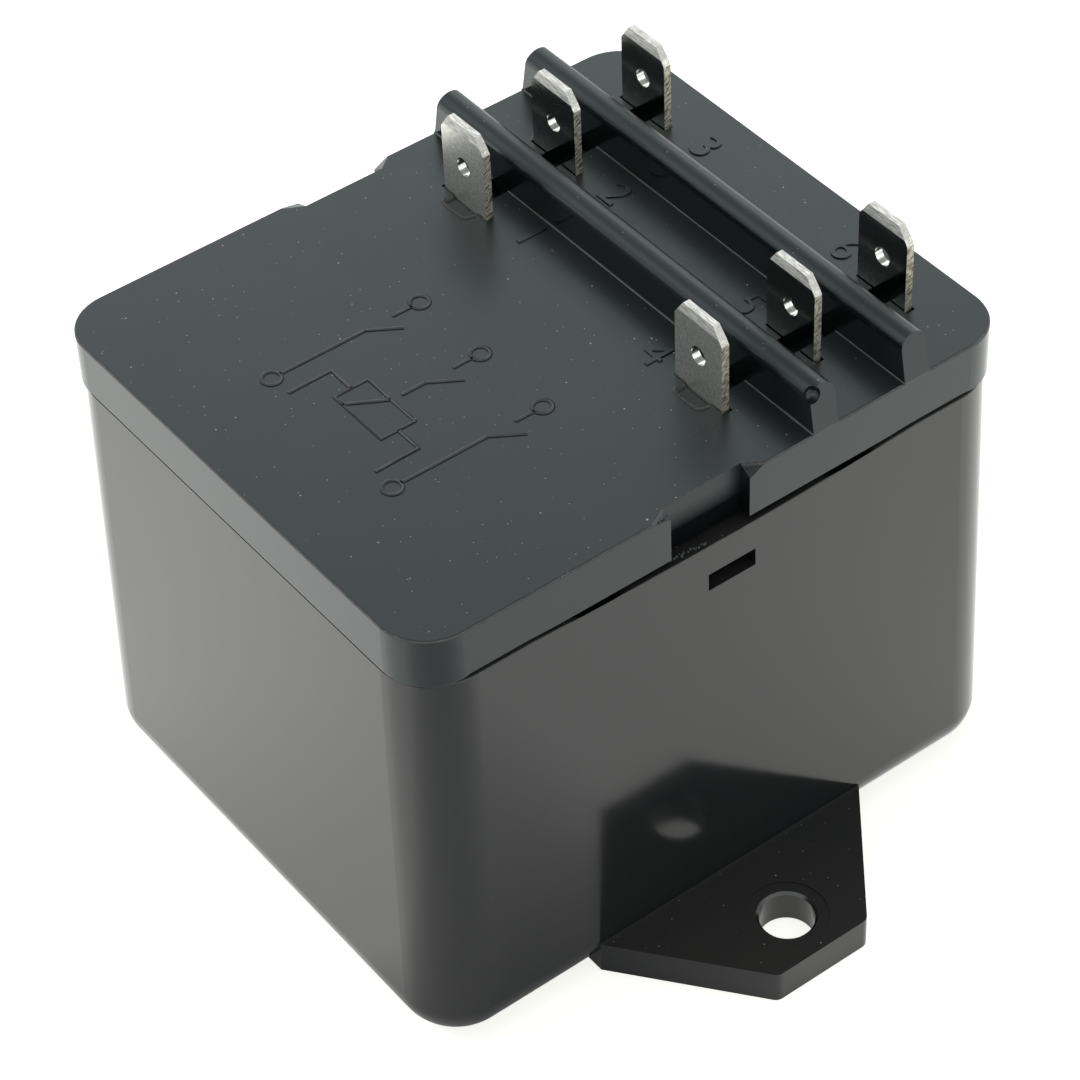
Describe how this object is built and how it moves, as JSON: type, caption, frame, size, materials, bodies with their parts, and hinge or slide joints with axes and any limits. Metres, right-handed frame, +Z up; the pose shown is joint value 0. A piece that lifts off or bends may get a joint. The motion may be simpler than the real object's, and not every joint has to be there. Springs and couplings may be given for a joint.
{
  "type": "enclosed power relay",
  "caption": "Screw-down relay in a black moulded box with a clipped lid, quick-connect tabs between barrier ribs, a mounting ear at each end, and a hinged-armature relay on a board inside.",
  "frame": {"origin": "middle of the case's underside, at the middle of the overall box", "axes": "+X along the barrier ribs and through both mounting ears, +Y from the bare part of the lid towards the tabs, +Z up out of the lid, along the tabs"},
  "size_m": [0.0822, 0.0664, 0.06],
  "materials": {
    "case_plastic": "black moulded plastic, polished mould, semi-gloss",
    "lid_plastic": "black moulded plastic, fine satin grain",
    "tinned_tab": "stamped brass strip, dull tin plating, sheared edges",
    "board_laminate": "green solder mask on glass-epoxy laminate",
    "zinc_steel": "zinc-plated pressed steel",
    "soft_iron": "nickel-plated soft iron",
    "relay_plastic": "black glass-filled thermoplastic",
    "bobbin_plastic": "natural thermoplastic, satin",
    "coil_wire": "enamelled copper wire, layer wound",
    "tinned_lead": "tinned round wire",
    "contact_copper": "rolled copper alloy strip",
    "contact_silver": "silver alloy contact, fine satin",
    "spring_steel": "bright spring wire",
    "capacitor_box": "moulded yellow box, satin",
    "capacitor_sleeve": "dark blue shrink sleeve on an aluminium can",
    "component_black": "black moulded epoxy",
    "resistor_coat": "light blue dipped coating",
    "disc_coat": "orange dipped epoxy",
    "small_resistor_coat": "beige dipped coating"
  },
  "bodies": {
    "unit": {"case": "case_plastic", "lid": "lid_plastic", "terminal_1": "tinned_tab", "terminal_2": "tinned_tab", "terminal_3": "tinned_tab", "terminal_4": "tinned_tab", "terminal_5": "tinned_tab", "terminal_6": "tinned_tab", "circuit_board": "board_laminate", "board_screws": "zinc_steel", "relay_base": "relay_plastic", "magnet_frame": "zinc_steel", "core": "soft_iron", "bobbin": "bobbin_plastic", "coil_winding": "coil_wire", "coil_pins": "tinned_lead", "common_pin": "contact_copper", "make_contact_arm": "contact_copper", "make_contact": "contact_silver", "break_contact_arm": "contact_copper", "break_contact": "contact_silver", "return_spring": "spring_steel", "film_capacitor_1": "capacitor_box", "film_capacitor_2": "capacitor_box", "smoothing_capacitor": "capacitor_sleeve", "bridge_rectifier": "component_black", "dropper_resistor_1": "resistor_coat", "dropper_resistor_2": "resistor_coat", "dropper_resistor_3": "resistor_coat", "surge_disc_1": "disc_coat", "surge_disc_2": "disc_coat", "coil_driver": "component_black", "signal_resistors": "small_resistor_coat"},
    "armature": {"armature": "zinc_steel", "moving_blade": "contact_copper", "moving_contact": "contact_silver"}
  },
  "joints": [
    {"name": "armature_hinge", "type": "hinge", "parent": "unit", "child": "armature", "pos_m": [-0.013, -0.0154, 0.0213], "axis": [0, -1, 0], "range_deg": [0, 5], "stiffness_Nm_per_rad": 0.0065, "springref_deg": -11.46, "deforming": ["return_spring"]}
  ]
}
